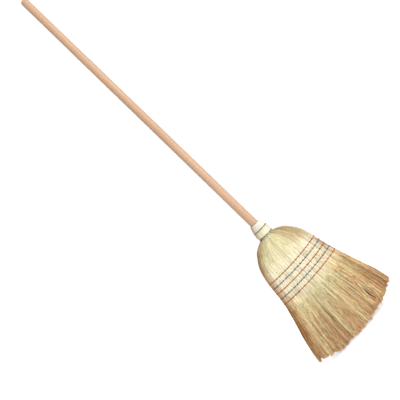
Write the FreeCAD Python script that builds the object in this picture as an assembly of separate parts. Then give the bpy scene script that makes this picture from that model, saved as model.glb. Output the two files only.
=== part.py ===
"""Corn broom: a flat, stitched straw head wired to a round wooden handle.

Frame: +Z up along the handle, X across the sweep, Y through its thickness. The broom stands
upright on its cut straw tips, with the origin on the floor under the middle of its box.
All sizes are in millimetres.
"""
import FreeCAD, Part
import math
import os

V = FreeCAD.Vector
X_AXIS, Y_AXIS, Z_AXIS = V(1, 0, 0), V(0, 1, 0), V(0, 0, 1)

# ---- driving dimensions ----------------------------------------------------------------
TOTAL_HEIGHT = 1400.0

HANDLE_R = 12.7             # round dowel
GRIP_R = 12.4               # slightly slimmer, and still round and straight, at the top end
GRIP_Z = 1160.0             # the grip starts here
GRIP_TAPER = 60.0           # length of the step down to the grip
HANDLE_FOOT = 260.0         # the handle ends inside the straw, above the stitching
HANDLE_FOOT_R = 8.0
HANDLE_FOOT_TAPER = 45.0
HANDLE_DOME = 7.0           # rise of the rounded top end

# Outline of the straw head: height, half width, half thickness. It ends in the round neck.
HEAD_OUTLINE = [
    (0.0, 148.0, 38.0),
    (34.0, 144.5, 37.0),
    (75.0, 137.5, 34.0),
    (116.0, 125.0, 30.5),
    (158.0, 112.5, 26.0),
    (200.0, 102.0, 23.0),
    (243.0, 94.5, 23.5),
    (275.0, 87.5, 27.5),
    (297.0, 80.0, 29.5),
    (312.0, 71.0, 30.0),
    (326.0, 59.0, 29.0),
    (337.5, 42.5, 26.0),
    (345.0, 28.5, 22.8),
]
NECK_Z = 348.0              # the round neck starts here
OUTLINE_STEP = 8.0          # spacing of the sections that the straw is built from
NECK_COVER_R = 20.8         # outer straw under the leaf sheath
MID_SCALE = (0.84, 0.66)    # inner straw, as a share of the outline's width and thickness
CORE_SCALE = (0.36, 0.62)   # core straw, as a share of the inner straw's size
END_ROUNDING = 0.66         # radius of a section's ends, as a share of its half thickness
NECK_MARGIN = (2.0, 0.5)    # sections stay this much wider and thicker than the neck
ROUND_LIMIT = 1.0           # a section less oval than this is drawn as a circle,
ROUND_SPLIT = 35.0          # cut at this angle from the X axis

TIP_FLAT_HALF = 85.0        # the cut tips are flat this far from the middle
TIP_RISE = 20.0             # and rise this much at the two corners
TIP_CURVE = 0.3             # share of the rise that is reached halfway to the corner
OVERRUN = 10.0              # the cutting block reaches this far past the straw

# Neck, from the inside out.
CORE_R = 14.4
CORE_TOP = 383.0
SHOULDER_R = 18.4
SHOULDER_TOP = 364.0
COVER_TOP = 388.0
SHEATH_WALL = 1.3
SHEATH_PROFILE = [          # height and outer radius, top first
    (395.5, 14.8),
    (384.5, 19.2),
    (376.0, 21.3),
    (372.0, 22.0),
    (363.0, 23.7),
    (357.0, 23.5),
    (353.5, 22.4),
    (349.5, 22.4),
]
HUSK_WALL = 0.9             # loose husk leaf between the two wires
HUSK_Z = (356.0, 370.0)

INNER_WIRE_R = 0.6
CORE_WIRE_Z = 377.0
CORE_WIRE_TURNS = 5
SHOULDER_WIRE_Z = 360.0
SHOULDER_WIRE_TURNS = 4
WIRE_CLEARANCE = 0.1        # between an inner wire and the straw around it
WIRE_ROOM = 4.0             # the room around the shoulder wire starts this far below it
NECK_WIRE_R = 0.8
NECK_WIRE_TURNS = 2
NECK_WIRES = {"neck_wire_upper": (373.5, 21.8), "neck_wire_lower": (351.7, 22.5)}
TURN_OVERLAP = 0.1          # neighbouring turns of a winding press into each other
PIGTAIL_LENGTH = 9.0        # twisted end of each neck wire

NAIL_Z = 365.0
NAIL_SHANK_R = 1.1
NAIL_HEAD_R = 3.2
NAIL_HEAD_H = 1.2
NAIL_POINT_Y = -6.0         # the nail is driven from the back, past the handle's middle

ROW_COUNT = 5
ROW_TOP_Z = 247.0
ROW_PITCH = 16.0
TWINE_R = 1.1
TWINE_PROUD = 0.35          # the twine's centre line stands this far off the straw
TIE_R = 0.8
TIE_COUNT = 16              # passes of the twine through the head in one row
TIE_SPAN = 0.86             # share of the width that the passes cover


# ---- shape helpers ---------------------------------------------------------------------
def arc(a, b, c):
    return Part.Arc(a, b, c).toShape()


def oval(z, half_width, half_thickness, offset=0.0):
    """Closed outline of four tangent arcs, or of one circle cut in four."""
    w, h = half_width + offset, half_thickness + offset
    if w - h < ROUND_LIMIT:
        split = math.radians(ROUND_SPLIT)
        px, py = w * math.cos(split), w * math.sin(split)
    else:
        end_r = END_ROUNDING * half_thickness + offset
        big_r = ((w - end_r) ** 2 + h ** 2 - end_r ** 2) / (2 * (h - end_r))
        reach = end_r / (big_r - end_r)
        px = (w - end_r) * (1 + reach)
        py = (big_r - h) * reach
    return Part.Wire([
        arc(V(-px, -py, z), V(0, -h, z), V(px, -py, z)),
        arc(V(px, -py, z), V(w, 0, z), V(px, py, z)),
        arc(V(px, py, z), V(0, h, z), V(-px, py, z)),
        arc(V(-px, py, z), V(-w, 0, z), V(-px, -py, z)),
    ])


def slope(index, column):
    """Slope of the outline at one of its points, from the points on both sides."""
    low = HEAD_OUTLINE[max(index - 1, 0)]
    high = HEAD_OUTLINE[min(index + 1, len(HEAD_OUTLINE) - 1)]
    return (high[column] - low[column]) / (high[0] - low[0])


def section_at(z):
    """Half width and half thickness of the head at a height, on a smooth curve."""
    last = len(HEAD_OUTLINE) - 2
    index = max(i for i in range(last + 1) if i == 0 or HEAD_OUTLINE[i][0] <= z)
    low, high = HEAD_OUTLINE[index], HEAD_OUTLINE[index + 1]
    span = high[0] - low[0]
    t = (z - low[0]) / span
    blend = t * t * (3 - 2 * t)
    return tuple(
        low[c] + (high[c] - low[c]) * blend
        + span * t * (1 - t) * ((1 - t) * slope(index, c) - t * slope(index + 1, c))
        for c in (1, 2)
    )


def head_solid(scale, neck_r):
    """The head's outline at a scale, drawn in to a round neck at its top."""
    top = HEAD_OUTLINE[-1][0]
    count = round(top / OUTLINE_STEP)
    wires = []
    for index in range(count + 1):
        z = top * index / count
        w, h = section_at(z)
        w = max(w * scale[0], neck_r + NECK_MARGIN[0])
        h = max(h * scale[1], neck_r + NECK_MARGIN[1])
        wires.append(oval(z, w, h))
    wires.append(oval(NECK_Z, neck_r, neck_r))
    return Part.makeLoft(wires, True, True)


def revolved(points):
    """Solid of revolution about Z from (radius, height) points."""
    wire = Part.makePolygon([V(r, 0, z) for r, z in points + points[:1]])
    return Part.Face(wire).revolve(V(0, 0, 0), Z_AXIS, 360)


def cylinder(radius, bottom, top):
    return Part.makeCylinder(radius, top - bottom, V(0, 0, bottom))


def half_space(direction):
    """Large box on one side of the YZ or XZ plane through the origin."""
    size = 2 * TOTAL_HEIGHT
    corner = V(-size / 2, -size / 2, -size / 2) + direction * (size / 2)
    return Part.makeBox(size, size, size, corner)


def winding(radius, height, wire_r, turns):
    """Wire wound side by side around a round neck, as one solid."""
    pitch = 2 * wire_r - TURN_OVERLAP
    start = height - pitch * (turns - 1) / 2
    solid = None
    for turn in range(turns):
        ring = Part.makeTorus(radius + wire_r, wire_r, V(0, 0, start + turn * pitch))
        solid = ring if solid is None else solid.fuse(ring)
    return solid


# ---- sub-parts -------------------------------------------------------------------------
def make_handle():
    side = [
        (0, HANDLE_FOOT),
        (HANDLE_FOOT_R, HANDLE_FOOT),
        (HANDLE_R, HANDLE_FOOT + HANDLE_FOOT_TAPER),
        (HANDLE_R, GRIP_Z - GRIP_TAPER),
        (GRIP_R, GRIP_Z),
        (GRIP_R, TOTAL_HEIGHT - HANDLE_DOME),
    ]
    edges = [Part.LineSegment(V(a[0], 0, a[1]), V(b[0], 0, b[1])).toShape()
             for a, b in zip(side, side[1:])]
    top, rim = V(0, 0, TOTAL_HEIGHT), V(GRIP_R, 0, TOTAL_HEIGHT - HANDLE_DOME)
    ball_r = (GRIP_R ** 2 + HANDLE_DOME ** 2) / (2 * HANDLE_DOME)
    half_angle = math.asin(GRIP_R / ball_r) / 2
    middle = top + V(ball_r * math.sin(half_angle), 0, ball_r * (math.cos(half_angle) - 1))
    edges.append(arc(rim, middle, top))
    edges.append(Part.LineSegment(top, V(0, 0, HANDLE_FOOT)).toShape())
    return Part.Face(Part.Wire(edges)).revolve(V(0, 0, 0), Z_AXIS, 360)


def make_anchor_nail():
    head_y = SHEATH_PROFILE[4][1] + HUSK_WALL
    at = V(0, NAIL_POINT_Y, NAIL_Z)
    shank = Part.makeCylinder(NAIL_SHANK_R, head_y - NAIL_POINT_Y, at, Y_AXIS)
    head = Part.makeCylinder(NAIL_HEAD_R, NAIL_HEAD_H, V(0, head_y, NAIL_Z), Y_AXIS)
    return shank.fuse(head)


def make_row(index):
    """One row of stitching: a loop of twine around the head and its passes through it."""
    z = ROW_TOP_Z - index * ROW_PITCH
    w, h = section_at(z)
    path = oval(z, w, h, TWINE_PROUD)
    start = path.Edges[0].valueAt(path.Edges[0].FirstParameter)
    tangent = path.Edges[0].tangentAt(path.Edges[0].FirstParameter)
    profile = Part.Wire(Part.Circle(start, tangent, TWINE_R).toShape())
    row = path.makePipeShell([profile], True, True)
    for k in range(TIE_COUNT):
        x = w * TIE_SPAN * (2 * k / (TIE_COUNT - 1) - 1)
        y = front_of(w, h, x)
        row = row.fuse(Part.makeCylinder(TIE_R, 2 * y, V(x, -y, z), Y_AXIS))
    return row


def front_of(w, h, x):
    """Half thickness of the four-arc outline at a distance from its middle."""
    end_r = END_ROUNDING * h
    big_r = ((w - end_r) ** 2 + h ** 2 - end_r ** 2) / (2 * (h - end_r))
    if abs(x) <= (w - end_r) * (1 + end_r / (big_r - end_r)):
        return math.sqrt(big_r ** 2 - x ** 2) - (big_r - h)
    return math.sqrt(end_r ** 2 - (abs(x) - (w - end_r)) ** 2)


def make_neck_wire(height, radius):
    wire = winding(radius, height, NECK_WIRE_R, NECK_WIRE_TURNS)
    reach = radius + NECK_WIRE_R
    tail = Part.makeCylinder(NECK_WIRE_R * 1.5, PIGTAIL_LENGTH, V(0, reach, height), X_AXIS)
    return wire.fuse(tail)


def make_sheath():
    outer = [(r, z) for z, r in SHEATH_PROFILE]
    inner = [(max(r - SHEATH_WALL, HANDLE_R), z) for z, r in reversed(SHEATH_PROFILE)]
    return revolved(outer + inner)


def make_husk():
    """Leaf wound once around the bulge of the sheath."""
    outline = [(r, z) for z, r in SHEATH_PROFILE if HUSK_Z[0] < z < HUSK_Z[1]]
    ends = [(radius_of_sheath(z), z) for z in HUSK_Z]
    inner = [ends[1]] + outline + [ends[0]]
    outer = [(r + HUSK_WALL, z) for r, z in reversed(inner)]
    return revolved(inner + outer)


def radius_of_sheath(height):
    for (z1, r1), (z2, r2) in zip(SHEATH_PROFILE, SHEATH_PROFILE[1:]):
        if z2 <= height <= z1:
            return r1 + (r2 - r1) * (z1 - height) / (z1 - z2)
    raise ValueError("the sheath does not reach height %g" % height)


def tip_cut():
    """Block under the cut line of the straw tips: flat in the middle, rising at the corners."""
    edge, half_depth = HEAD_OUTLINE[0][1], HEAD_OUTLINE[0][2] + OVERRUN
    half = edge + OVERRUN
    low = -OVERRUN
    rise = TIP_RISE * (half - TIP_FLAT_HALF) / (edge - TIP_FLAT_HALF)
    knee, corner = V(TIP_FLAT_HALF, 0, 0), V(half, 0, rise)
    middle = V((TIP_FLAT_HALF + half) / 2, 0, rise * TIP_CURVE)
    mirror = [V(-p.x, 0, p.z) for p in (knee, middle, corner)]
    edges = [
        Part.LineSegment(mirror[0], knee).toShape(),
        arc(knee, middle, corner),
        Part.LineSegment(corner, V(half, 0, low)).toShape(),
        Part.LineSegment(V(half, 0, low), V(-half, 0, low)).toShape(),
        Part.LineSegment(V(-half, 0, low), mirror[2]).toShape(),
        arc(mirror[2], mirror[1], mirror[0]),
    ]
    face = Part.Face(Part.Wire(edges))
    face.translate(V(0, -half_depth, 0))
    return face.extrude(V(0, 2 * half_depth, 0))


def make_straw(handle, nail, rows):
    """The five straw bundles, nested inside each other around the handle's foot."""
    core_wire = winding(CORE_R, CORE_WIRE_Z, INNER_WIRE_R, CORE_WIRE_TURNS)
    shoulder_wire = winding(SHOULDER_R, SHOULDER_WIRE_Z, INNER_WIRE_R, SHOULDER_WIRE_TURNS)
    wire_gap = 2 * INNER_WIRE_R + WIRE_CLEARANCE

    outer = head_solid((1, 1), NECK_COVER_R)
    sheath_inner = [(max(r - SHEATH_WALL, HANDLE_R), z)
                    for z, r in SHEATH_PROFILE if z < COVER_TOP]
    top_r = radius_of_sheath(COVER_TOP) - SHEATH_WALL
    neck = revolved([(0, COVER_TOP), (top_r, COVER_TOP)] + sheath_inner
                    + [(NECK_COVER_R, NECK_Z), (0, NECK_Z)])
    outer = outer.fuse(neck)

    middle = head_solid(MID_SCALE, SHOULDER_R)
    shoulder = middle.fuse(cylinder(SHOULDER_R, NECK_Z, SHOULDER_TOP))
    inner_scale = (MID_SCALE[0] * CORE_SCALE[0], MID_SCALE[1] * CORE_SCALE[1])
    core = head_solid(inner_scale, CORE_R).fuse(cylinder(CORE_R, NECK_Z, CORE_TOP))

    cavity = shoulder.fuse([
        cylinder(SHOULDER_R + wire_gap, SHOULDER_WIRE_Z - WIRE_ROOM, SHOULDER_TOP),
        cylinder(CORE_R + wire_gap, SHOULDER_TOP, COVER_TOP),
    ])
    cover = outer.cut(cavity)
    sides = shoulder.cut(core)
    core = core.cut(handle)

    tools = [tip_cut(), nail] + rows
    cover, sides, core = [solid.cut(tools) for solid in (cover, sides, core)]
    return {
        "core_bundle": core,
        "core_wire": core_wire,
        "shoulder_bundle_left": sides.common(half_space(-X_AXIS)),
        "shoulder_bundle_right": sides.common(half_space(X_AXIS)),
        "shoulder_wire": shoulder_wire.cut(nail),
        "front_cover": cover.common(half_space(-Y_AXIS)),
        "back_cover": cover.common(half_space(Y_AXIS)),
    }


def build():
    handle = make_handle()
    nail = make_anchor_nail()
    rows = [make_row(index) for index in range(ROW_COUNT)]
    parts = make_straw(handle, nail, rows)
    parts["handle"] = handle.cut(nail)
    parts["anchor_nail"] = nail
    parts["neck_sheath"] = make_sheath().cut(nail)
    parts["neck_husk"] = make_husk().cut(nail)
    for name, (height, radius) in NECK_WIRES.items():
        parts[name] = make_neck_wire(height, radius)
    for index, row in enumerate(rows):
        parts["stitch_row_%d" % (index + 1)] = row
    return parts


os.makedirs("parts", exist_ok=True)
for node, shape in build().items():
    print(node, len(shape.Solids), shape.isValid(), round(shape.Volume / 1000, 2), "cm3")
    shape.exportStep("parts/%s.step" % node)
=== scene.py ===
"""Looks of the corn broom: every straw, leaf, wire and twine is real geometry around the CAD frame.

Lengths are in metres, in the part's own frame: +Z up the handle, X across the sweep, front at -Y.
"""
import math

import bpy
import numpy as np
from mathutils import Matrix, Vector


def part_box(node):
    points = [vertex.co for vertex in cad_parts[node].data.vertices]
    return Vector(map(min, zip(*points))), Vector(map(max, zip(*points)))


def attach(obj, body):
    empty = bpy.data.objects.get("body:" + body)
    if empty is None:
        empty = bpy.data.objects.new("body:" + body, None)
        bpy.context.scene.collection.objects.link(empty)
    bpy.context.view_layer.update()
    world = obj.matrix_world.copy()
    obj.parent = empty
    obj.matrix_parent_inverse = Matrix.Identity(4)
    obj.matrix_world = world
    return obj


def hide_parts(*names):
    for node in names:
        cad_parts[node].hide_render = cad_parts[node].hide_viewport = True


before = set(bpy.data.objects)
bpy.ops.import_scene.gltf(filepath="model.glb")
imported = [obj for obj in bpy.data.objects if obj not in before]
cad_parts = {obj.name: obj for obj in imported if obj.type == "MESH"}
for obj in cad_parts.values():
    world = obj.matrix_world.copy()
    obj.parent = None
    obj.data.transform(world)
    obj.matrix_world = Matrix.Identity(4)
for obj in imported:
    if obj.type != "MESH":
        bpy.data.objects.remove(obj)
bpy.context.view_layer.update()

MM = 0.001
TAU = 2 * math.pi

# ---- places that come from the frame -----------------------------------------------------
SHEATH_LOW, SHEATH_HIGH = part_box("neck_sheath")
HUSK_LOW, HUSK_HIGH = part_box("neck_husk")
ROWS = ["stitch_row_%d" % (k + 1) for k in range(5)]
ROW_Z = [sum(corner.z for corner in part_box(name)) / 2 for name in ROWS]
NECK_Z = SHEATH_LOW.z                 # the straw comes out from under the sheath here
STRAW_TOP = NECK_Z + 7 * MM
HANDLE_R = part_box("handle")[1].x

# ---- shape of the head -------------------------------------------------------------------
SEED = 11
SQUARENESS = 2.45                     # exponent of the head's cross section; 2 is an ellipse
SQUARE_BELOW = 60 * MM                # it goes from round to squarer over this far from the neck
GIRTH_Z = 0.15                        # lengths round the head are measured at this height
OUTLINE_LOW, OUTLINE_STEP = 34 * MM, 8 * MM   # the CAD head is measured from here, in steps
TIP_OPENING = 0.6                     # share of its slope that the outline keeps below that
LEAN = 4.4 * MM                       # the worn brush leans this much to the right
LEAN_TOP, LEAN_FULL = 0.27, 0.15      # from the first of these heights down to the second
FLARE = 3.0 * MM                      # how much further out the loose tips stand
FLARE_TOP, FLARE_FULL = 75 * MM, 10 * MM
SHOULDER = 5.0 * MM                   # how much the straw bulges as it leaves the sheath
SHOULDER_LOW, SHOULDER_FULL = 0.320, 0.336
TIP_RISE_LEFT, TIP_RISE_RIGHT = 19 * MM, 33 * MM      # the tips are worn away at the corners
TIP_MIDDLE, TIP_RAGGED = 5.5 * MM, 2.6 * MM           # their height in the middle; raggedness
ROW_BOW, ROW_TILT = 5.0 * MM, 3.5 * MM        # sag of a row's middle, and climb to the right
PINCH, PINCH_REACH = 0.9 * MM, 3.4 * MM       # groove that a row of stitching presses in
TIE_PINCH, TIE_REACH = 1.0 * MM, 34 * MM      # and the grooves from stitch to stitch
TIES, TIE_SPAN = 16, 0.86             # stitches in a row, and the share of the width they cover
TIE_STEP = 2 * TIE_SPAN / (TIES - 1)
PRESSED_SKIN = 12 * MM                # straw deeper than this is hardly pressed in
SPLIT_PLACE = 0.53                    # where the brush has parted, as a share of its half width
SPLIT_DRIFT = -7.0 * MM               # and how far the parting strays sideways towards the tips
SPLIT_PUSH, SPLIT_REACH = 9 * MM, 10 * MM     # how far it moves straws, and from how far off


def smooth(a, b, x):
    """0 where x is at a or before it, 1 at b or beyond, with a soft slope between them."""
    t = np.clip((x - a) / (b - a), 0, 1)
    return t * t * (3 - 2 * t)


def linear(*srgb):
    """A colour as seen on screen, 0 to 255, as the linear values that shaders use."""
    c = np.array(srgb) / 255
    return np.where(c <= 0.04045, c / 12.92, ((c + 0.055) / 1.055) ** 2.4)


def node_points(node):
    """Every point of a CAD node's mesh, as rows of x, y and z."""
    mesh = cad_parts[node].data
    co = np.empty(len(mesh.vertices) * 3)
    mesh.vertices.foreach_get("co", co)
    return co.reshape(-1, 3)


def measured_outline():
    """Outline of the CAD head, from its front cover: (height, half width) and (height, half
    thickness), from the tips to the neck, where the straw draws in under the sheath."""
    co = node_points("front_cover")
    wide, thick = [], []
    for low in np.arange(OUTLINE_LOW, NECK_Z, OUTLINE_STEP):
        band = co[(co[:, 2] >= low) & (co[:, 2] < low + OUTLINE_STEP)]
        edge = band[np.argmax(np.abs(band[:, 0]))]
        crest = band[np.argmin(band[:, 1])]
        wide.append((edge[2], abs(edge[0])))
        thick.append((crest[2], -crest[1]))
    for rows in (wide, thick):
        rows.append((NECK_Z, 20 * MM))
        rows.append((STRAW_TOP, 18 * MM))
    return np.array(wide), np.array(thick)


WIDE, THICK = measured_outline()


def outline_at(rows, z):
    """The measured outline at a height; it goes on opening out below its lowest row."""
    slope = (rows[0, 1] - rows[3, 1]) / (rows[3, 0] - rows[0, 0])
    below = np.maximum(rows[0, 0] - z, 0)
    return np.interp(z, rows[:, 0], rows[:, 1]) + below * slope * TIP_OPENING


def half_width(z):
    bulge = smooth(SHOULDER_LOW, SHOULDER_FULL, z) * smooth(NECK_Z, NECK_Z - 4 * MM, z)
    return outline_at(WIDE, z) + FLARE * smooth(FLARE_TOP, FLARE_FULL, z) + SHOULDER * bulge


def half_thickness(z):
    return outline_at(THICK, z)


def lean(z):
    return LEAN * smooth(LEAN_TOP, LEAN_FULL, z)


def row_height(index, share):
    """Height of a row of stitching at a share of the half width: it sags in the middle and
    climbs to the right."""
    return ROW_Z[index] + ROW_BOW * share ** 2 + ROW_TILT * share


def tie_wave(share):
    """1 at each stitch and 0 halfway between, fading out beyond the last stitch."""
    wave = 0.5 + 0.5 * np.cos(TAU * (share / TIE_STEP + 0.5))
    return wave * smooth(TIE_SPAN + 0.1, TIE_SPAN, np.abs(share))


def pinch(share, z):
    """How far the stitching presses the straw in."""
    depth = np.zeros_like(z * share)
    for index in range(len(ROWS)):
        gap = z - row_height(index, share)
        depth += PINCH * np.exp(-((gap / PINCH_REACH) ** 2))
    top, bottom = ROW_Z[0] + ROW_BOW, ROW_Z[-1]
    inside = smooth(top + TIE_REACH, top, z) * smooth(bottom - TIE_REACH, bottom, z)
    return depth + TIE_PINCH * tie_wave(share) ** 5 * inside


def unit_section(angle, z):
    """Point of the unit cross section at an angle: round at the neck, squarer in the head."""
    power = 2 / (2 + (SQUARENESS - 2) * smooth(NECK_Z, NECK_Z - SQUARE_BELOW, z))
    c, s = np.cos(angle), np.sin(angle)
    return np.sign(c) * np.abs(c) ** power, np.sign(s) * np.abs(s) ** power


def measured_girth():
    """Share of the way round the head, by length, against the angle; and the whole girth."""
    angle = np.linspace(0, TAU, 4001)
    ux, uy = unit_section(angle, GIRTH_Z)
    steps = np.hypot(np.diff(ux) * half_width(GIRTH_Z), np.diff(uy) * half_thickness(GIRTH_Z))
    run = np.concatenate([[0], np.cumsum(steps)])
    return angle, run / run[-1], run[-1]


ANGLE, RUN, GIRTH = measured_girth()


def on_head(run, sink, z, depth=0.0):
    """Points of the head by their share of the way round it (0 at the right edge, a quarter at
    the back), how far they are sunk below its surface, a height, and a share of the way in."""
    angle = np.interp(run % 1.0, RUN, ANGLE)
    ux, uy = unit_section(angle, z)
    press = pinch(ux, z) * (1 - smooth(0, PRESSED_SKIN, sink) * 0.8)
    inner = 1 - depth
    x = ux * np.maximum(half_width(z) * inner - sink - 0.6 * press, 0) + lean(z)
    y = uy * np.maximum(half_thickness(z) * inner - sink - press, 0)
    return np.stack([x, y, z + 0 * x], axis=-1)


def sideways(z, distance):
    """The share of the way round that moves a point this distance along the surface."""
    return distance / (GIRTH * half_width(z) / half_width(GIRTH_Z))


def across_share(run):
    """Where a place on the girth lies across the head, from -1 at the left to 1."""
    return unit_section(np.interp(run % 1.0, RUN, ANGLE), GIRTH_Z)[0]


def run_at(share, back=False):
    """Where a share of the half width lies on the girth, on the front or the back."""
    angle = np.arccos(np.sign(share) * np.abs(share) ** (SQUARENESS / 2))
    return np.interp(angle if back else TAU - angle, ANGLE, RUN)


SPLIT_RUN = run_at(SPLIT_PLACE)


# ---- meshes ------------------------------------------------------------------------------
def new_mesh(name, verts, loops, starts, colours=None):
    mesh = bpy.data.meshes.new(name)
    mesh.vertices.add(len(verts))
    mesh.vertices.foreach_set("co", np.ascontiguousarray(verts, dtype=np.float32).ravel())
    mesh.loops.add(len(loops))
    mesh.loops.foreach_set("vertex_index", np.ascontiguousarray(loops, dtype=np.int32))
    mesh.polygons.add(len(starts))
    mesh.polygons.foreach_set("loop_start", np.ascontiguousarray(starts, dtype=np.int32))
    mesh.polygons.foreach_set("use_smooth", np.ones(len(starts), dtype=bool))
    mesh.update(calc_edges=True)
    mesh.validate()
    if colours is not None:
        layer = mesh.attributes.new("tone", "FLOAT_COLOR", "POINT")
        rgba = np.ones((len(verts), 4), dtype=np.float32)
        rgba[:, :3] = colours
        layer.data.foreach_set("color", rgba.ravel())
    obj = bpy.data.objects.new(name, mesh)
    bpy.context.scene.collection.objects.link(obj)
    return obj


def closed_faces(quads, first, last):
    """Loops and face starts of a tube's quads and of its end caps, which are rows of corners."""
    sides = quads[..., 0].size * 4
    caps = (first.size + last.size) // first.shape[-1]
    starts = np.concatenate([
        np.arange(0, sides, 4), sides + np.arange(caps) * first.shape[-1],
    ])
    return np.concatenate([quads.ravel(), first.ravel(), last.ravel()]), starts


def tube_arrays(paths, radii, colours, sides=3, spin=None):
    """Vertices, loops, face starts and colours of many closed tubes with the same point count.

    paths is (tubes, points, 3), radii (tubes, points) and colours (tubes, points, 3). spin turns
    each tube about its own length.
    """
    n, k = radii.shape
    along = np.gradient(paths, axis=1)
    along /= np.linalg.norm(along, axis=2, keepdims=True) + 1e-12
    across = np.cross(along, np.broadcast_to(np.array([0.0, 1.0, 0.0]), paths.shape))
    across /= np.linalg.norm(across, axis=2, keepdims=True) + 1e-12
    out = np.cross(across, along)
    if spin is None:
        spin = np.zeros(n)
    angle = TAU * np.arange(sides) / sides + spin[:, None]
    c = np.cos(angle)[:, None, :, None]
    s = np.sin(angle)[:, None, :, None]
    ring = across[:, :, None, :] * c + out[:, :, None, :] * s
    verts = paths[:, :, None, :] + ring * radii[:, :, None, None]
    index = np.arange(n * k * sides).reshape(n, k, sides)
    a, b = index[:, :-1], index[:, 1:]
    quads = np.stack([a, np.roll(a, -1, 2), np.roll(b, -1, 2), b], axis=-1)
    loops, starts = closed_faces(quads, index[:, 0, ::-1], index[:, -1])
    tones = np.repeat(colours[:, :, None, :], sides, axis=2).reshape(-1, 3)
    return verts.reshape(-1, 3), loops, starts, tones


def join_arrays(parts):
    """Many sets of such arrays as one."""
    verts, loops, starts, tones = [], [], [], []
    v_count = l_count = 0
    for v, l, s, t in parts:
        verts.append(v)
        loops.append(l + v_count)
        starts.append(s + l_count)
        tones.append(t)
        v_count += len(v)
        l_count += len(l)
    return [np.concatenate(x) for x in (verts, loops, starts, tones)]


def tubes_piece(name, parts):
    return new_mesh(name, *join_arrays(parts))


# ---- materials ---------------------------------------------------------------------------
class Nodes:
    """A material's node tree with short calls for the nodes that this script uses."""

    def __init__(self, name):
        self.material = bpy.data.materials.new(name)
        self.material.use_nodes = True
        self.tree = self.material.node_tree
        self.shader = next(n for n in self.tree.nodes if n.type == "BSDF_PRINCIPLED")

    def add(self, kind, inputs=None, **settings):
        node = self.tree.nodes.new(kind)
        for key, value in settings.items():
            setattr(node, key, value)
        for key, value in (inputs or {}).items():
            self.put(node, key, value)
        return node

    def put(self, node, key, value):
        if isinstance(value, bpy.types.NodeSocket):
            self.tree.links.new(value, node.inputs[key])
        else:
            node.inputs[key].default_value = value

    def coordinates(self, scale):
        place = self.add("ShaderNodeTexCoord").outputs["Object"]
        return self.add("ShaderNodeMapping", {"Vector": place, "Scale": scale}).outputs[0]

    def noise(self, scale, detail=3.0, stretch=(1, 1, 1), rough=0.6):
        where = self.coordinates(stretch)
        return self.add("ShaderNodeTexNoise", {
            "Vector": where, "Scale": scale, "Detail": detail, "Roughness": rough,
        }).outputs["Fac"]

    def ramp(self, factor, stops):
        node = self.add("ShaderNodeValToRGB", {"Fac": factor})
        elements = node.color_ramp.elements
        while len(elements) < len(stops):
            elements.new(0.5)
        for element, (place, colour) in zip(elements, stops):
            element.position = place
            element.color = (*colour, 1)
        return node.outputs["Color"]

    def multiply(self, a, b):
        """Two colours multiplied. A Mix node's own colour sockets are numbers 6 and 7."""
        node = self.add("ShaderNodeMix", {0: 1.0}, data_type="RGBA", blend_type="MULTIPLY")
        self.put(node, 6, a)
        self.put(node, 7, b)
        return node.outputs[2]

    def span(self, factor, low, high):
        return self.add("ShaderNodeMapRange", {
            "Value": factor, "To Min": low, "To Max": high,
        }).outputs[0]

    def bump(self, height, distance):
        normal = self.add("ShaderNodeBump", {"Height": height, "Distance": distance})
        self.put(self.shader, "Normal", normal.outputs[0])

    def finish(self, **sockets):
        """The material, with constant values for the shader's named sockets."""
        for key, value in sockets.items():
            self.put(self.shader, key.replace("_", " "), value)
        return self.material


def straw_material(name, roughness, grain, contrast, blotch_size):
    """Dry straw: each straw's own tone, with fine fibres and blotches along it."""
    n = Nodes(name)
    tone = n.add("ShaderNodeAttribute", attribute_name="tone").outputs["Color"]
    fibres = n.noise(900, 2, (1, 1, 0.07))
    blotches = n.noise(blotch_size, 4, (1, 1, 0.5))
    shade = n.ramp(fibres, [(0.25, (1 - contrast,) * 3), (0.7, (1 + contrast / 3,) * 3)])
    stain = 1 - contrast * np.array((0.9, 1.15, 1.4))
    spots = n.ramp(blotches, [(0.32, tuple(stain)), (0.5, (1, 1, 1)), (0.75, (1.06,) * 3)])
    n.put(n.shader, "Base Color", n.multiply(n.multiply(tone, shade), spots))
    n.put(n.shader, "Roughness", n.span(blotches, roughness - 0.12, roughness + 0.15))
    n.bump(fibres, grain)
    return n.finish(Specular_IOR_Level=0.25)


def leaf_material(name, stretch):
    """Dried leaf, with veins drawn out along the directions where stretch is small."""
    n = Nodes(name)
    tone = n.add("ShaderNodeAttribute", attribute_name="tone").outputs["Color"]
    veins = n.noise(1100, 2, stretch)
    stains = n.noise(60, 4, (1, 1, 0.6))
    shade = n.ramp(veins, [(0.3, (0.86, 0.84, 0.8)), (0.65, (1.06,) * 3)])
    stain = n.ramp(stains, [(0.32, (0.9, 0.85, 0.75)), (0.5, (1, 1, 1))])
    n.put(n.shader, "Base Color", n.multiply(n.multiply(tone, shade), stain))
    n.put(n.shader, "Roughness", n.span(stains, 0.4, 0.6))
    n.bump(veins, 0.35 * MM)
    return n.finish(Specular_IOR_Level=0.45)


def wood_material():
    """Bare turned beech: pinkish tan, long faint grain and the short dark flecks of beech."""
    n = Nodes("beech")
    warp = n.noise(5, 2, (1, 1, 0.35))
    grain = n.noise(190, 5, (1, 1, 0.035), 0.65)
    flecks = n.noise(1400, 1, (1, 1, 0.09), 0.4)
    broad = n.ramp(warp, [(0.3, linear(200, 161, 130)), (0.7, linear(210, 175, 146))])
    lines = n.ramp(grain, [(0.34, (0.96, 0.94, 0.92)), (0.58, (1.02,) * 3)])
    marks = n.ramp(flecks, [(0.26, (0.88, 0.84, 0.79)), (0.38, (1, 1, 1))])
    n.put(n.shader, "Base Color", n.multiply(n.multiply(broad, lines), marks))
    n.put(n.shader, "Roughness", n.span(grain, 0.58, 0.42))
    n.bump(grain, 0.05 * MM)
    return n.finish(Specular_IOR_Level=0.4)


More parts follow.
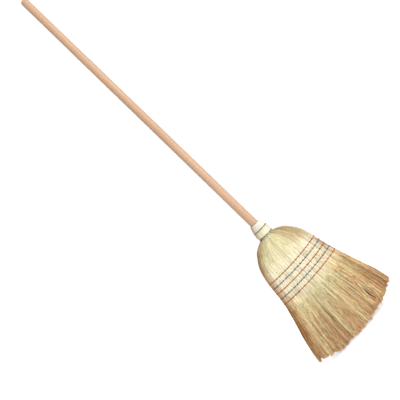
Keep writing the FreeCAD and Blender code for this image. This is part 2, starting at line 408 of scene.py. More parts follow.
def wire_material():
    """Drawn zinc-coated wire, clouded with age."""
    n = Nodes("zinc_wire")
    cloud = n.noise(220, 4)
    tint = n.ramp(cloud, [(0.3, (0.1, 0.1, 0.1)), (0.7, (0.36, 0.37, 0.38))])
    n.put(n.shader, "Base Color", tint)
    n.put(n.shader, "Roughness", n.span(cloud, 0.16, 0.34))
    n.bump(n.noise(2500, 2), 0.05 * MM)
    return n.finish(Metallic=1.0)


def twine_material(name, dark, light):
    """Dyed twine: fluffy, and faded in stretches."""
    n = Nodes(name)
    fluff = n.noise(2600, 3)
    fade = n.noise(90, 3)
    body = n.ramp(fluff, [(0.3, dark), (0.7, light)])
    worn = n.ramp(fade, [(0.35, (0.8, 0.8, 0.82)), (0.6, (1.08, 1.06, 1.05))])
    n.put(n.shader, "Base Color", n.multiply(body, worn))
    n.put(n.shader, "Roughness", n.span(fluff, 0.7, 0.5))
    n.bump(fluff, 0.2 * MM)
    return n.finish(Sheen_Weight=0.25)


STRAW_STALK = straw_material("straw_stalk", 0.48, 0.25 * MM, 0.2, 60)
STRAW_SPRAY = straw_material("straw_spray", 0.66, 0.35 * MM, 0.32, 420)
LEAF = leaf_material("dry_leaf", (1, 1, 0.03))
HUSK = leaf_material("dry_husk", (0.06, 0.06, 1))
BEECH = wood_material()
WIRE = wire_material()
RED = twine_material("red_twine", linear(140, 34, 34), linear(196, 66, 58))
BLUE = twine_material("blue_twine", linear(26, 56, 112), linear(64, 104, 168))


def dress(piece, material, slot, *nodes):
    """Gives a piece its material and body, and hides the CAD nodes that it stands for."""
    piece.data.materials.append(material)
    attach(piece, "root")
    if nodes:
        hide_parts(*nodes)
    return piece


def repaint(node, material):
    """Gives a CAD node that stays visible its material."""
    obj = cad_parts[node]
    for slot in obj.material_slots:
        slot.link = "OBJECT"
        slot.material = material


# ---- straw -------------------------------------------------------------------------------
PALE = linear(234, 227, 182)
BLEACHED = linear(252, 245, 213)
GOLD = linear(246, 225, 172)
TAN = linear(250, 210, 156)
TIP = linear(252, 198, 144)
DARK = linear(172, 118, 72)
GREEN = linear(224, 222, 168)
RUST = linear(224, 158, 106)
LIGHT = linear(252, 230, 184)
CREAM = linear(250, 248, 233)
SHADED_LEAF = linear(158, 132, 84)
BROWNED_AND_SHADED = linear(202, 167, 133)       # what the straw's colour is multiplied by at the sides, for brown straw and painted shade
DEEPER = np.array((1, 0.94, 0.86))    # and, to some power, in the shade inside the head
WARMER_TIPS = np.array((0.24, 0.12, 0.11))    # what the tips gain, as shares of their colour
BRIGHTEST = 0.97                      # nothing dry reflects more light than this

# Odd straws: colour, the range of a random pick from 0 to 1 that gets it, and its strength.
ODD_STRAWS = ((GREEN, 0.0, 0.08, 0.4), (RUST, 0.10, 0.22, 0.5), (LIGHT, 0.22, 0.42, 0.8),
              (DARK, 0.42, 0.55, 0.65))

TAN_Z = 0.118                         # the brush turns from pale to tan around this height
STITCHED_TOP = (0.31, 0.255)          # stretches over which the bleached part of the head
STITCHED_BOTTOM = (0.14, 0.19)        # fades in, from above and from below

TUFTS = 104                           # small tufts that the loose straw gathers into
FRONT, BACK = (0.5, 1.0), (0.0, 0.5)  # parts of the girth, as shares of the way round
LEFT, RIGHT = (0.25, 0.75), (-0.25, 0.25)
ALL_ROUND = (0.0, 1.0)


def even_runs(count, rng, side):
    """Places on part of the girth, spread evenly but for a random shift of each in its slot."""
    start, stop = side
    return start + (stop - start) * (np.arange(count) + rng.uniform(0.0, 1.0, count)) / count


def column(values):
    """One value for each straw, set against the points along it."""
    return np.asarray(values)[:, None]


class Tufts:
    """The tufts between the last row and the tips: where each is, and how it differs."""

    def __init__(self, rng):
        self.run = even_runs(TUFTS, rng, ALL_ROUND)
        self.shade = rng.uniform(0.9, 1.52, TUFTS)
        self.sink = rng.normal(0, 1.6 * MM, TUFTS)
        self.drift = rng.normal(0, 2.2 * MM, TUFTS)

    def nearest(self, run):
        away = np.abs((run[:, None] - self.run[None, :] + 0.5) % 1.0 - 0.5)
        return np.argmin(away, axis=1)


TUFT = Tufts(np.random.default_rng(SEED))
# Unevenness across the head: of the cut line, coarse and fine, and of the straw's shade.
NOTCHES = np.random.default_rng(SEED + 1).normal(0, TIP_RAGGED * 0.6, 31)
NICKS = np.random.default_rng(SEED + 2).normal(0, TIP_RAGGED * 0.9, 140)
BANDS = np.random.default_rng(SEED + 3).normal(0, 0.05, 90)


def stepped(values, share):
    """One value for each stretch of the head's width, with short slopes between them."""
    place = (np.clip(share, -1, 1) + 1) / 2 * (len(values) - 1)
    whole = np.minimum(np.floor(place).astype(int), len(values) - 2)
    return values[whole] + (values[whole + 1] - values[whole]) * smooth(0.35, 0.65, place - whole)


def tip_height(share):
    """Height of the ragged cut line of the tips: worn away at the corners, more at the right."""
    line = np.where(share < 0, TIP_RISE_LEFT * np.abs(share) ** 4.0,
                    TIP_RISE_RIGHT * np.abs(share) ** 1.5)
    return line + TIP_MIDDLE + stepped(NOTCHES, share) + stepped(NICKS, share)


def tan_height(run, share):
    """Height at which the pale stalks give way to tan branches: higher towards the edges."""
    wave = 9 * MM * np.sin(TAU * 5 * run + 1.0) + 7 * MM * np.sin(TAU * 13 * run)
    return TAN_Z + 0.055 * smooth(0.3, 0.7, share) + 0.045 * smooth(-0.55, -0.9, share) + wave


def mixed(tone, colour, amount):
    """A colour part of the way to another."""
    return tone * (1 - amount) + colour * amount


def browning_and_shade(share, z, rng):
    """How far each straw is darkened, by browning and by painted shade: most at both edges of the
    head, and less over the right flank and in a collar under the sheath."""
    count = len(share)
    left = column(smooth(-0.8, -0.985, share)) * (0.45 + 0.55 * smooth(0.02, 0.11, z))
    right = column(smooth(0.76, 0.985, share)) * 0.45 * (0.5 + 0.5 * smooth(0.12, 0.2, z))
    flank = column(smooth(0.25, 0.65, share) * rng.uniform(0.25, 0.9, count))
    flank = flank * (smooth(0.25, 0.3, z) + 0.6 * smooth(0.13, 0.09, z))
    collar = column(smooth(0.3, 0.8, np.abs(share)) * rng.uniform(0.05, 0.65, count))
    return np.maximum(np.maximum(left + right, flank), collar * smooth(0.30, 0.335, z))


def straw_tone(run, z, rng, contrast, gloom):
    """Colour along each straw: pale at the neck, bleached between the rows of stitching, tan
    towards the tips, darker at the sides with brown straw and painted shade. gloom below 1 is for
    straw in the shade inside."""
    count = len(run)
    share = across_share(run)
    turn = tan_height(run, share) + rng.normal(0, 24 * MM, count)
    fading = smooth(column(turn + 60 * MM), column(turn - 10 * MM), z)[..., None]
    low = smooth(column(turn + 20 * MM), column(turn - 55 * MM), z)[..., None]
    tip = smooth(80 * MM, 0.0, z)[..., None]
    stitched = (smooth(*STITCHED_TOP, z) * smooth(*STITCHED_BOTTOM, z))[..., None]
    tone = mixed(mixed(mixed(PALE, BLEACHED, stitched), GOLD, fading), TAN, low)
    tone = mixed(tone, TIP, tip * column(rng.uniform(0, 1, count))[..., None] * low)
    pick = rng.uniform(0, 1, count)
    for colour, start, stop, strength in ODD_STRAWS:
        chosen = column((pick >= start) & (pick < stop))[..., None]
        tone = mixed(tone, colour, chosen * strength * (0.35 + 0.65 * low))
    band = 1 + np.interp(run % 1.0 * len(BANDS), np.arange(len(BANDS)), BANDS)
    odds = rng.uniform(1 - contrast, 1 + 0.55 * contrast, count) - 1
    shade = 1 + odds[:, None, None] * (0.45 + 0.55 * low)
    # painted shade at the sides of the head, mixed with brown straw
    tone = tone * mixed(np.ones(3), BROWNED_AND_SHADED, browning_and_shade(share, z, rng)[..., None])
    # darker in the grooves between the stitches: painted shade, partly dirt
    groove = column(tie_wave(share) ** 6 * rng.uniform(0.0, 0.14, count))
    tone = tone * (1 - groove[..., None] * stitched)
    return tone * shade * band[:, None, None] * DEEPER ** (4 - 4 * gloom) * gloom


def stalks(count, side, seed, sink_range, gloom):
    """Smooth upper stalks, from inside the neck to below the stitching, where they sink in
    among the branches."""
    rng = np.random.default_rng(seed)
    run = even_runs(count, rng, side)
    k = 30
    share = np.linspace(0, 1, k)      # of the way down each stalk; its points crowd at the neck
    bottom = ROW_Z[-1] - rng.uniform(20 * MM, 112 * MM, count)
    fall = 0.25 * share + 0.75 * share ** 2
    z = STRAW_TOP - column(STRAW_TOP - bottom) * fall
    freed = smooth(ROW_Z[-1], 80 * MM, z)
    width = rng.uniform(0.9, 1.35, count) * MM
    sink = column(rng.uniform(*sink_range, count) + width) + 3.5 * MM * freed
    sink = sink + column(rng.uniform(0, 5, count) * MM) * smooth(NECK_Z - 5 * MM, STRAW_TOP, z)
    sway = column(rng.normal(0, 1.1 * MM, count)) * np.sin(share * 3.0)
    sway = sway + column(rng.normal(0, 0.35 * MM, count)) * np.sin(share * 17 + 2)
    paths = on_head(column(run) + sideways(z, sway), sink, z)
    thin = 0.45 + 0.55 * smooth(NECK_Z, 0.31, z)
    radii = column(width) * thin * (1 - 0.45 * smooth(0.8, 1.0, share))
    tones = straw_tone(run, z, rng, 0.42, gloom)
    return tube_arrays(paths, radii, tones, sides=4, spin=rng.uniform(0, TAU, count))


def split_drift(z):
    """How far the split has strayed sideways at a height."""
    return SPLIT_DRIFT * smooth(0.115, 0.03, z)


def parting(run, z):
    """How far a straw at this place is pushed aside by the split in the brush."""
    gap = (run - SPLIT_RUN) / sideways(z, 1.0) - split_drift(z)
    deep = smooth(0.112, 0.075, z) * smooth(16 * MM, 42 * MM, z)
    uneven = 0.8 + 0.2 * np.sin(gap * 900 + z * 60)
    side = np.sign(np.mean(gap, axis=1, keepdims=True))
    return side * SPLIT_PUSH * np.exp(-((gap / SPLIT_REACH) ** 2)) * deep * uneven


def spray(count, side, seed, sink_range, top_range, thick=(0.45, 0.8), k=18, depth=(0, 0),
          contrast=0.55, gloom=1.0):
    """Fine branches that each stalk splits into, down to the cut tips.

    The ranges are of how far below the surface they lie, the heights that they start at, their
    radius in mm, and how far in they are as a share of the head; k is the points along each.
    """
    rng = np.random.default_rng(seed)
    run = even_runs(count, rng, side)
    inner = rng.uniform(*depth, count)
    tuft = TUFT.nearest(run)
    share = np.linspace(0, 1, k)
    top = rng.uniform(*top_range, count)
    short = rng.uniform(0, 1, count) ** 3 * 10 * MM + rng.normal(0, 1.2 * MM, count)
    bottom = tip_height(across_share(run) * (1 - inner)) + short
    bottom = np.maximum(bottom, rng.uniform(0.4, 2.0, count) * MM)
    z = column(top) + column(bottom - top) * share
    loose = smooth(ROW_Z[-1], 20 * MM, z)
    apart = (TUFT.run[tuft] - run + 0.5) % 1.0 - 0.5
    rim = np.minimum(np.abs(apart) * 2 * TUFTS, 1)
    gather = apart * 0.68
    aside = column(TUFT.drift[tuft] + rng.normal(0, 3.6 * MM, count)) * loose ** 1.4
    aside = aside + rng.normal(0, 0.5 * MM, (count, k)) * loose
    place = column(run) + column(gather) * loose
    place = place + sideways(z, aside)
    place = place + sideways(z, parting(place, z))
    sink = rng.uniform(*sink_range, count)
    sink = column(sink) + 2.0 * MM * smooth(0.14, 0.18, z)
    sink = sink + column(TUFT.sink[tuft] + rng.normal(0, 0.9 * MM, count)) * loose
    sink = sink + rng.normal(0, 0.35 * MM, (count, k)) * loose
    paths = on_head(place, np.maximum(sink, 0), z, column(inner))
    width = rng.uniform(*thick, count) * MM
    seeds = 1 + 0.5 * rng.uniform(0, 1, (count, k)) ** 3 * smooth(0.15, 0.5, share)
    radii = column(width) * seeds * (1.1 - 0.45 * share ** 2)
    # straw at the rim of each tuft is darker: painted shade in the gaps between tufts
    tuft_shade = column(TUFT.shade[tuft] * (1 - 0.4 * rim ** 2)) * loose + 1.12 * (1 - loose)
    tones = straw_tone(run, z, rng, contrast, gloom) * tuft_shade[..., None]
    tones = tones * (1 + WARMER_TIPS * smooth(0.09, 0.02, z)[..., None])
    specks = 1 - 0.38 * (rng.uniform(0, 1, (count, k)) > 0.78) * smooth(0.13, 0.06, z)
    tones = np.minimum(tones * specks[..., None], BRIGHTEST)
    return tube_arrays(paths, radii, tones, spin=rng.uniform(0, TAU, count))


def sprigs(count, side, seed):
    """Short crooked side branches, lying at a slant over the rest of the spray."""
    rng = np.random.default_rng(seed)
    run = even_runs(count, rng, side)
    k = 6
    share = np.linspace(0, 1, k)
    floor = np.maximum(tip_height(across_share(run)), 1 * MM)
    low = floor + rng.uniform(0, 1, count) ** 1.5 * 110 * MM
    z = column(low) + column(rng.uniform(16, 46, count) * MM) * (1 - share)
    slant = rng.normal(0, 4.0 * MM, count)
    aside = column(slant) * share + rng.normal(0, 0.35 * MM, (count, k))
    place = column(run) + sideways(z, aside)
    place = place + sideways(z, parting(place, z))
    sink = column(rng.uniform(-0.2, 1.8, count) * MM)
    sink = sink + column(rng.uniform(-0.6, 1.5, count) * MM) * share
    paths = on_head(place, np.maximum(sink, 0), z)
    radii = column(rng.uniform(0.3, 0.5, count) * MM) * (1.15 - 0.5 * share)
    tones = straw_tone(run, z, rng, 0.55, 1.0)
    return tube_arrays(paths, radii, tones, spin=rng.uniform(0, TAU, count))


def split_straws():
    """Six pale straws that fork over the split in the brush, each listed: the heights
    of its ends, how far aside of the split they are, and its radius."""
    rng = np.random.default_rng(SEED + 650)
    top = np.array((92, 90, 104, 98, 110, 86)) * MM
    bottom = np.array((34, 26, 42, 20, 52, 30)) * MM
    start = np.array((-0.5, 0.5, 6.5, -7.0, 1.0, 4.0)) * MM
    stop = np.array((-9.5, 5.5, 8.5, -6.0, -4.5, 10.5)) * MM
    width = np.array((1.2, 1.3, 1.0, 0.8, 0.7, 0.7)) * MM
    count, k = len(top), 16
    share = np.linspace(0, 1, k)
    z = column(top) + column(bottom - top) * share
    aside = column(start) + column(stop - start) * share ** 1.3 + split_drift(z)
    aside = aside + column(rng.normal(0, 0.5 * MM, count)) * np.sin(share * 9)
    paths = on_head(SPLIT_RUN + sideways(z, aside), 0.2 * MM + 0 * z, z)
    radii = column(width) * (1.05 - 0.4 * share)
    tones = np.broadcast_to(LIGHT, paths.shape) * rng.uniform(0.9, 1.03, (count, 1, 1))
    return tube_arrays(paths, radii, tones, sides=5)


def strays(count, seed):
    """A few loose straws that stand off the sides of the brush."""
    rng = np.random.default_rng(seed)
    k = 14
    run = rng.choice([0.0, 0.5], count) + rng.normal(0, 0.04, count)
    share = np.linspace(0, 1, k)
    top = rng.uniform(0.11, 0.2, count)
    bottom = rng.uniform(14 * MM, 60 * MM, count)
    z = column(top) + column(bottom - top) * share
    out = column(rng.uniform(0.5, 4.0, count) * MM) * share ** 2
    paths = on_head(column(run) + 0 * z, 0.3 * MM - out, z)
    radii = column(rng.uniform(0.3, 0.45, count) * MM) * (1.1 - 0.6 * share)
    tones = straw_tone(run, z, rng, 0.2, 1.0)
    return tube_arrays(paths, radii, tones)


def packed_core():
    """The dense middle of the head, ridged like packed straw, that closes off the view."""
    rng = np.random.default_rng(SEED + 40)
    k = 260
    run = even_runs(k, rng, ALL_ROUND)
    ridge = rng.uniform(0, 1.6 * MM, k)
    body, top = np.linspace(75 * MM, 0.30, 26), np.linspace(0.306, NECK_Z - 3 * MM, 9)
    levels = np.concatenate([body, top])
    rings, tones = [], []
    for z in levels:
        sink = 5.5 * MM + ridge + 4 * MM * smooth(0.14, 0.08, z)
        rings.append(on_head(run, sink, np.full(k, z)))
        # the core's dark colour, darker towards the bottom, is painted shade deep inside the head
        tones.append(np.broadcast_to(DARK * (0.6 + 0.4 * smooth(0.1, 0.3, z)), (k, 3)))
    index = np.arange(len(levels) * k).reshape(-1, k)
    a, b = index[:-1], index[1:]
    quads = np.stack([a, np.roll(a, -1, 1), np.roll(b, -1, 1), b], axis=-1)
    loops, starts = closed_faces(quads, index[0, ::-1], index[-1])
    return np.array(rings).reshape(-1, 3), loops, starts, np.array(tones).reshape(-1, 3)


def make_straw():
    for side, node, seed in ((FRONT, "front_cover", SEED + 100),
                             (BACK, "back_cover", SEED + 200)):
        upper = tubes_piece(node + "_stalks", [
            stalks(340, side, seed + 1, (0.0, 0.9 * MM), 1.0),
            stalks(250, side, seed + 2, (1.4 * MM, 3.2 * MM), 0.86),
        ])
        dress(upper, STRAW_STALK, "cover_straw", node)
        lower = tubes_piece(node + "_spray", [
            spray(1250, side, seed + 3, (0.5 * MM, 2.8 * MM), (0.12, 0.21)),
            spray(130, side, seed + 5, (0.3 * MM, 1.2 * MM), (0.10, 0.17), thick=(0.7, 0.95),
                  contrast=0.2),
        ])
        dress(lower, STRAW_SPRAY, "cover_straw", node)
        lining = tubes_piece(node + "_lining", [
            spray(900, side, seed + 4, (2.8 * MM, 6.0 * MM), (0.10, 0.18), k=14, gloom=0.42),
            sprigs(1900, side, seed + 6),
        ])
        dress(lining, STRAW_SPRAY, "cover_straw", node)
    for side, node, seed in ((LEFT, "shoulder_bundle_left", SEED + 300),
                             (RIGHT, "shoulder_bundle_right", SEED + 400)):
        inner = tubes_piece(node + "_straw", [
            spray(900, side, seed, (4 * MM, 6 * MM), (0.08, 0.15), thick=(0.7, 1.0), k=9,
                  depth=(0.02, 0.5), gloom=0.36),
        ])
        dress(inner, STRAW_SPRAY, "inner_straw", node)
    middle = tubes_piece("core_bundle_straw", [
        packed_core(),
        spray(500, ALL_ROUND, SEED + 500, (5 * MM, 7 * MM), (0.075, 0.12), thick=(0.8, 1.1),
              k=7, depth=(0.4, 0.95), gloom=0.36),
    ])
    dress(middle, STRAW_SPRAY, "inner_straw", "core_bundle")
    loose = tubes_piece("stray_straws", [strays(34, SEED + 600), split_straws()])
    dress(loose, STRAW_SPRAY, "cover_straw")


# ---- twine -------------------------------------------------------------------------------
TWINE_R = 0.92 * MM
PLIES = 2
PLY_R, PLY_OFFSET = 0.56, 0.5                 # shares of the radius of the twisted twine
ROW_STAND, ROW_DIP = 0.75 * MM, 0.45 * MM     # a row's height over the straw; less at a stitch
TIE_SLANT, TIE_HALF = 0.011, 2.2 * MM         # half a stitch: across, as a share, and upright
TIE_STAND, TIE_DIVE = 1.75 * MM, 3.4 * MM     # its height over the straw, and how deep it ends
CROSSING_RUN = 0.962                          # on the girth, just in front of the right edge


def twisted(path, radius, turns, sides=5):
    """Plies wound around each other along a path, as tubes with no colour of their own."""
    k = len(path)
    along = np.gradient(path, axis=0)
    along /= np.linalg.norm(along, axis=1, keepdims=True) + 1e-12
    up = np.array([0.0, 0.0, 1.0]) + 0 * along
    up[np.abs(along[:, 2]) > 0.9] = (0.0, 1.0, 0.0)
    side = np.cross(along, up)
    side /= np.linalg.norm(side, axis=1, keepdims=True)
    top = np.cross(side, along)
    wind = TAU * turns * np.linspace(0, 1, k)
    strands = []
    for ply in range(PLIES):
        phase = (wind + TAU * ply / PLIES)[:, None]
        wound = (side * np.cos(phase) + top * np.sin(phase)) * radius * PLY_OFFSET
        strands.append(path + wound)
    return tube_arrays(np.array(strands), np.full((PLIES, k), radius * PLY_R),
                       np.ones((PLIES, k, 3)), sides)


def row_loop(index):
    """Centre line of a row: once around the head, drawn in a little at each stitch."""
    run = np.linspace(0.25, 1.252, 700)
    share = across_share(run)
    dip = ROW_DIP * tie_wave(share) ** 3
    return on_head(run, dip - ROW_STAND, row_height(index, share))


def tie_loop(index, share, back):
    """A stitch: twine comes out above the row, crosses it and goes in again below."""
    t = np.linspace(-1, 1, 13)
    z = row_height(index, share) - TIE_HALF * t
    sink = TIE_DIVE * np.abs(t) ** 3 - TIE_STAND
    return on_head(run_at(share + TIE_SLANT * t, back), sink, z)


def crossing(index):
    """Twine along the right edge of the head, from a row to the next of its colour."""
    t = np.linspace(0, 1, 60)
    run = CROSSING_RUN + 0.004 * index + 0.01 * t
    share = across_share(run)
    z = row_height(index, share) * (1 - t) + row_height(index + 2, share) * t
    return on_head(run, -(0.7 + 0.5 * np.sin(math.pi * t) ** 2) * MM, z)


def make_rows():
    for index, node in enumerate(ROWS):
        parts = [twisted(row_loop(index), TWINE_R, 80)]
        for k in range(TIES):
            share = (k - (TIES - 1) / 2) * TIE_STEP
            for back in (False, True):
                parts.append(twisted(tie_loop(index, share, back), TWINE_R * 0.7, 1.2))
        if index in (0, 2):           # red twine; the blue passes between rows are hidden
            parts.append(twisted(crossing(index), TWINE_R * 0.8, 7))
        piece = tubes_piece(node + "_twine", parts)
        red = index % 2 == 0
        dress(piece, RED if red else BLUE, "red_twine" if red else "blue_twine", node)


# ---- neck --------------------------------------------------------------------------------
LEAVES = 6
LEAF_THICK = 0.5 * MM
WIRE_R = 0.8 * MM
COIL_TURNS, COIL_RISE = 2.08, 2.028 * WIRE_R  # of a neck wire, and its climb over its length


def measured_sheath():
    """Outer radius of the CAD sheath by height."""
    co = node_points("neck_sheath")
    radius = np.hypot(co[:, 0], co[:, 1])
    heights = np.unique(np.round(co[:, 2], 4))
    return np.array([(z, radius[np.abs(co[:, 2] - z) < 0.2 * MM].max()) for z in heights])


SHEATH = measured_sheath()


def sheath_radius(z):
    return np.interp(z, SHEATH[:, 0], SHEATH[:, 1])


def round_neck(theta, r, z):
    """A point of the neck; leaf and wire alike are wound on lower at the front than the back."""
    sag = (np.sin(theta) ** 2 - 1.5 * np.sin(theta)) * MM
    return np.stack([np.cos(theta) * r, np.sin(theta) * r, z - sag], axis=-1)


def slab(outer, inner, tones):
    """Closed skin between an outer and an inner grid of points, both (rows, columns, 3)."""
    rows, columns = outer.shape[:2]
    index = np.arange(rows * columns).reshape(rows, columns)
    under = index + rows * columns

    def quads(a, b, c, d):
        return np.stack([a, b, c, d], axis=-1).reshape(-1, 4)

    faces = np.concatenate([
        quads(index[:-1, :-1], index[:-1, 1:], index[1:, 1:], index[1:, :-1]),
        quads(under[:-1, :-1], under[1:, :-1], under[1:, 1:], under[:-1, 1:]),
        quads(index[0, 1:], index[0, :-1], under[0, :-1], under[0, 1:]),
        quads(index[-1, :-1], index[-1, 1:], under[-1, 1:], under[-1, :-1]),
        quads(index[:-1, 0], index[1:, 0], under[1:, 0], under[:-1, 0]),
        quads(index[1:, -1], index[:-1, -1], under[:-1, -1], under[1:, -1]),
    ])
    verts = np.concatenate([outer.reshape(-1, 3), inner.reshape(-1, 3)])
    both = np.concatenate([tones.reshape(-1, 3)] * 2)
    return verts, faces.ravel(), np.arange(len(faces)) * 4, both


def wrapped(theta, r, z, tones):
    """A leaf laid round the neck, as a slab of leaf's thickness."""
    return slab(round_neck(theta, r, z), round_neck(theta, r - LEAF_THICK, z), tones)


def leaf_tone(rng, rows, columns, colour):
    """Lengthwise streaks: one shade for every three columns of a leaf's grid."""
    streak = np.repeat(rng.uniform(0.9, 1.05, columns // 3 + 1), 3)[:columns]
    return np.broadcast_to(colour, (rows, columns, 3)) * streak[None, :, None]


def shaded_neck_sides(theta):
    """1 at the left of the neck and a little less at the right: painted shade at the sides, partly
    browned leaf.
    """
    return smooth(0.6, 1.0, -np.cos(theta)) + 0.7 * smooth(0.75, 1.0, np.cos(theta))


def sheath_leaves():
    """Broad leaf bases laid round the neck, each lapping the next, with ragged upper edges.

    across and up run from 0 to 1 over a leaf's width and height.
    """
    rng = np.random.default_rng(SEED + 700)
    rows, columns = 26, 34
    across = np.linspace(0, 1, columns)[None, :]
    up = np.linspace(0, 1, rows)[:, None]
    span = TAU / LEAVES * 1.55
    crown = 1 - (2 * across - 1) ** 2
    parts = []
    for leaf in range(LEAVES):
        theta0 = TAU * leaf / LEAVES + rng.uniform(-0.15, 0.15)
        slant = rng.uniform(-1, 1) * 2.2 * MM * (across - 0.5)
        top = SHEATH_HIGH.z - rng.uniform(0.2, 1.6) * MM - 3.0 * MM * (1 - crown ** 0.4) + slant
        top = top + rng.uniform(-0.15, 0.15, (1, columns)) * MM
        top = np.minimum(top, SHEATH_HIGH.z + 1 * MM)
        z = SHEATH_LOW.z + (top - SHEATH_LOW.z) * up
        theta = theta0 + span * (across - 0.5) * (1 - 0.12 * up) + 0.10 * up
        lap = 0.75 * MM * across
        vein = 0.09 * MM * np.sin(across * 44 + leaf) * (1 - up * 0.5)
        r = sheath_radius(z) - 0.25 * MM + lap + vein
        r = np.maximum(r, HANDLE_R + 0.25 * MM)
        # leaves facing left turn rustier and darker: painted shade, partly browned leaf
        facing_left_shade = smooth(0.3, 0.95, -np.cos(theta0))
        colour = mixed(CREAM, GREEN, rng.uniform(0.0, 0.25)) * rng.uniform(0.94, 1.04)
        colour = mixed(colour, RUST * 0.8, 0.2 * facing_left_shade)
        tones = leaf_tone(rng, rows, columns, colour)
        # painted shade at the sides of the neck, partly browned leaf
        tones = mixed(tones, SHADED_LEAF, (0.5 * shaded_neck_sides(theta))[..., None])
        # darker at the foot of each leaf, where it meets the straw: painted shade
        tones = tones * (1 - 0.12 * smooth(0.25, 0, up))[..., None]
        parts.append(wrapped(theta, r, z, tones))
    return parts


def husk_band():
    """A leaf wound one and a bit times round the bulge, lapping itself in a slanting fold."""
    rng = np.random.default_rng(SEED + 720)
    rows, columns = 22, 200
    along = np.linspace(0, 1, columns)[None, :]
    up = np.linspace(0, 1, rows)[:, None]
    turns = 1.22
    low, high = HUSK_LOW.z - 1.2 * MM, HUSK_HIGH.z + 0.4 * MM
    start = high - (high - low) * (0.25 + 0.75 * smooth(0.0, 0.22, along))
    stop = high - (high - low) * 0.65 * smooth(0.86, 1.0, along)
    z = start + (stop - start) * up
    theta = 0.9 + TAU * turns * along + 0.25 * (up - 0.5)
    crease = 0.14 * MM * np.sin(up * 19 + 1.5 * np.sin(theta)) + 0.12 * MM * np.sin(theta * 7)
    r = sheath_radius(z) + 0.65 * MM + 0.55 * MM * smooth(0.2, 1, along) + crease
    r = r - 0.4 * MM * (2 * up - 1) ** 6
    tones = mixed(CREAM, GOLD, 0.6)
    # painted shade at the sides of the neck, partly browned leaf
    tones = mixed(tones, SHADED_LEAF, (0.5 * shaded_neck_sides(theta))[..., None])
    tones = tones * rng.uniform(0.86, 1.04, (rows, 1, 1))
    tones = tones * rng.uniform(0.97, 1.03, (1, columns, 1))
    return [wrapped(theta, r, z, tones)]


def wire_coil(node, phase):
    """Two turns of wire pulled tight around the neck, with the twisted end laid flat."""
    low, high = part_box(node)
    middle = (low.z + high.z) / 2
    points, sides = 260, 8
    share = np.linspace(0, 1, points)
    theta = phase + share * TAU * COIL_TURNS
    z = middle + (share - 0.5) * COIL_RISE + 0.25 * MM * np.sin(theta + 0.8)
    path = round_neck(theta, sheath_radius(z) + WIRE_R * 1.9, z)
    coil = tube_arrays(path[None], np.full((1, points), WIRE_R), np.ones((1, points, 3)), sides)
    t = np.linspace(0, 1, 40)
    tail = round_neck(phase + 0.05 + t * 0.4, sheath_radius(middle) + WIRE_R * (3.4 + 0.4 * t),
                      middle + 1.2 * MM * t)
    return tubes_piece(node + "_coil", [coil, twisted(tail, WIRE_R * 1.5, 3.5, sides)])


def make_neck():
    dress(tubes_piece("neck_sheath_leaf", sheath_leaves()), LEAF, "leaf_sheath", "neck_sheath")
    dress(tubes_piece("neck_husk_leaf", husk_band()), HUSK, "leaf_sheath", "neck_husk")
    for phase, node in ((1.3, "neck_wire_upper"), (1.9, "neck_wire_lower")):
        dress(wire_coil(node, phase), WIRE, "steel_wire", node)
    for node in ("core_wire", "shoulder_wire", "anchor_nail"):
        repaint(node, WIRE)
    repaint("handle", BEECH)


# ---- studio ------------------------------------------------------------------------------
CAMERA_DISTANCE = 1.311
CAMERA_SIDE = math.radians(-8)        # the camera stands a little to the broom's left
CAMERA_HEIGHT = 0.340
CAMERA_YAW, CAMERA_PITCH, CAMERA_ROLL = (math.radians(a) for a in (5.44, 9.20, -45.59))
CAMERA_LENS = 41.8
WHITE_TO_CAMERA, LIGHT_ON_BROOM = 1.05, 0.34  # strength of the surroundings
FLOOR_HALF, FLOOR_GAP = 8.0, 0.5 * MM


def make_camera():
    """The camera looks ahead from its place, turned by its yaw, pitch and roll."""
    data = bpy.data.cameras.new("camera")
    data.lens = CAMERA_LENS
    data.sensor_width = 36
    camera = bpy.data.objects.new("camera", data)
    bpy.context.scene.collection.objects.link(camera)
    flat = math.cos(CAMERA_PITCH)
    ahead = Vector((math.sin(CAMERA_YAW) * flat, math.cos(CAMERA_YAW) * flat,
                    math.sin(CAMERA_PITCH)))
    right = ahead.cross(Vector((0, 0, 1))).normalized()
    up = right.cross(ahead)
    c, s = math.cos(CAMERA_ROLL), math.sin(CAMERA_ROLL)
    axes = Matrix((right * c + up * s, up * c - right * s, -ahead)).transposed()
    place = (CAMERA_DISTANCE * math.sin(CAMERA_SIDE), -CAMERA_DISTANCE * math.cos(CAMERA_SIDE),
             CAMERA_HEIGHT)
    camera.matrix_world = Matrix.Translation(place) @ axes.to_4x4()
    bpy.context.scene.camera = camera


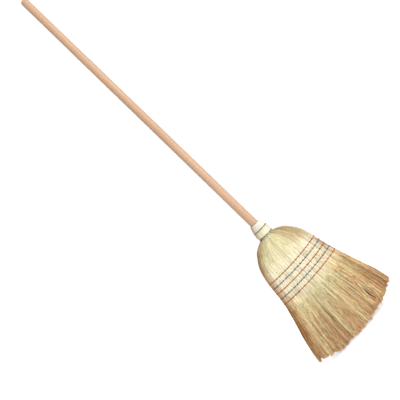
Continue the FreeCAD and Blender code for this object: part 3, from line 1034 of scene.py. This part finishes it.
def area_light(name, place, target, size, energy):
    data = bpy.data.lights.new(name, "AREA")
    data.shape = "DISK"
    data.size = size
    data.energy = energy
    light = bpy.data.objects.new(name, data)
    bpy.context.scene.collection.objects.link(light)
    light.location = place
    aim = Vector(target) - Vector(place)
    light.rotation_euler = aim.to_track_quat("-Z", "Y").to_euler()


def make_world():
    """White studio: bright white to the camera, softer as a light on the broom."""
    scene = bpy.context.scene
    scene.view_settings.view_transform = "Standard"
    world = bpy.data.worlds.new("studio")
    scene.world = world
    world.use_nodes = True
    tree = world.node_tree
    background = next(n for n in tree.nodes if n.type == "BACKGROUND")
    background.inputs["Color"].default_value = (1, 1, 1, 1)
    rays = tree.nodes.new("ShaderNodeLightPath")
    strength = tree.nodes.new("ShaderNodeMapRange")
    strength.inputs["To Min"].default_value = LIGHT_ON_BROOM
    strength.inputs["To Max"].default_value = WHITE_TO_CAMERA
    tree.links.new(rays.outputs["Is Camera Ray"], strength.inputs["Value"])
    tree.links.new(strength.outputs[0], background.inputs["Strength"])


def make_floor():
    """Pale floor that glows a little, so that it's as white as the surroundings."""
    corners = np.array([(-1, -1, 0), (1, -1, 0), (1, 1, 0), (-1, 1, 0)]) * FLOOR_HALF
    floor = new_mesh("floor", corners - [0, 0, FLOOR_GAP], np.arange(4), np.zeros(1, int))
    n = Nodes("pale_floor")
    mottle = n.noise(3, 3)
    n.put(n.shader, "Base Color", n.ramp(mottle, [(0.3, (0.9,) * 3), (0.7, (0.94,) * 3)]))
    n.put(n.shader, "Emission Color", (1, 1, 1, 1))
    floor.data.materials.append(n.finish(Roughness=0.8, Emission_Strength=0.7))


def make_studio():
    make_camera()
    make_world()
    make_floor()
    head = (0, 0, 0.2)
    area_light("key", (1.5, -1.7, 1.5), head, 1.2, 36)
    area_light("fill", (-1.6, -1.9, 0.8), head, 1.6, 6)
    area_light("back", (-0.6, 2.2, 1.5), head, 1.6, 22)


# ---- build -------------------------------------------------------------------------------
make_studio()
make_straw()
make_rows()
make_neck()
